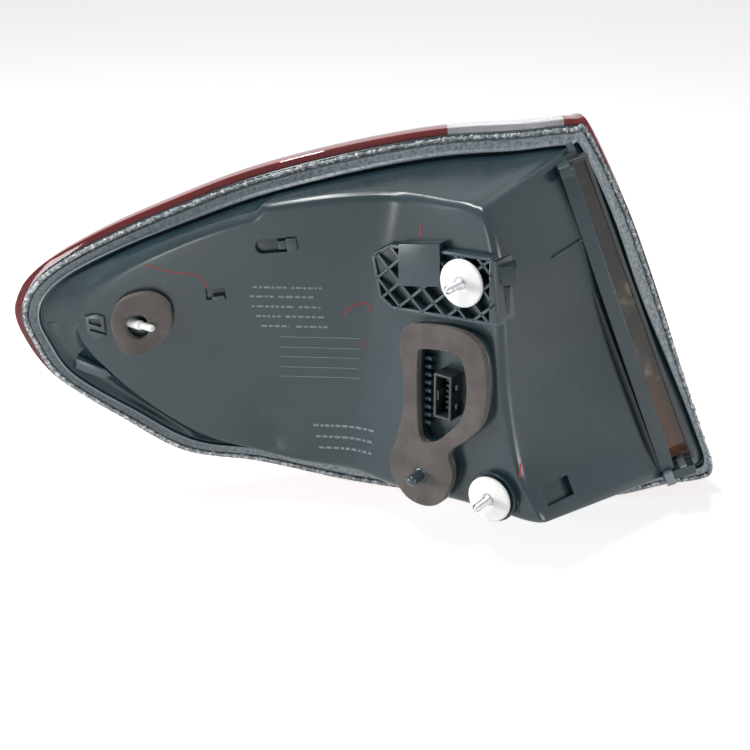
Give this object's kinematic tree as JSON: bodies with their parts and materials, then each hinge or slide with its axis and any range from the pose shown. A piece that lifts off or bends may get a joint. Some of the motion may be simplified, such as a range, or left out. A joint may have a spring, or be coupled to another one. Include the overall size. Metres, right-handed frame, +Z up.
{
  "type": "tail light cluster",
  "caption": "Wrap-around rear lamp for a car: moulded housing with two mounting studs, keyhole gasket and plug socket, welded red and clear lens, LED boards inside.",
  "frame": {"origin": "foot of the upper mounting stud, on the mounting plane: the outer face of its white washer", "axes": "Right-hand lamp in car axes: +X inboard, +Y rearward from the body to the lens, +Z up. The studs, locating pin and plug socket face -Y, the side pin faces +X."},
  "size_m": [0.3578, 0.3019, 0.2548],
  "materials": {
    "housing_plastic": "dark slate, satin, moulded",
    "red_lens": "transparent red acrylic, gloss",
    "clear_lens": "clear acrylic, gloss",
    "brown_pane": "smoked brown transparent pane",
    "steel": "zinc-plated steel",
    "white_plastic": "white, semi-matte",
    "foam": "brown-grey closed-cell foam, matte",
    "black_plastic": "black, matte",
    "brass_contact": "tinned brass",
    "metallised": "aluminium film on plastic, bright",
    "screw_steel": "zinc-plated",
    "board": "green solder mask, satin",
    "amber_led": "amber phosphor",
    "white_led": "pale yellow phosphor",
    "aluminium": "extruded, plain",
    "chip_black": "black moulding compound",
    "light_guide": "clear acrylic rod",
    "red_cover": "transparent red, frosted",
    "red_reflex": "red prismatic reflector",
    "cap_rubber": "black, matte",
    "harness": "black sleeving"
  },
  "bodies": {
    "root": {"housing": "housing_plastic", "lens_red": "red_lens", "lens_clear": "clear_lens", "inboard_window": "brown_pane", "upper_stud": "steel", "upper_washer": "white_plastic", "lower_stud": "steel", "lower_washer": "white_plastic", "side_pin": "white_plastic", "side_gasket": "foam", "connector_gasket": "foam", "connector_header": "black_plastic", "connector_contacts": "brass_contact", "bezel": "metallised", "carrier_frame": "black_plastic", "carrier_screws": "screw_steel", "lamp_board": "board", "turn_leds": "amber_led", "reverse_leds": "white_led", "heat_sink": "aluminium", "driver_parts": "chip_black", "turn_reflector": "metallised", "reverse_reflector": "metallised", "light_guide_upper": "light_guide", "light_guide_lower": "light_guide", "guide_led_holders": "black_plastic", "brake_board": "board", "brake_leds": "white_led", "brake_cover": "red_cover", "brake_screws": "screw_steel", "reflex_reflector": "red_reflex", "breather_cap": "cap_rubber", "inner_harness": "harness"}
  },
  "joints": []
}
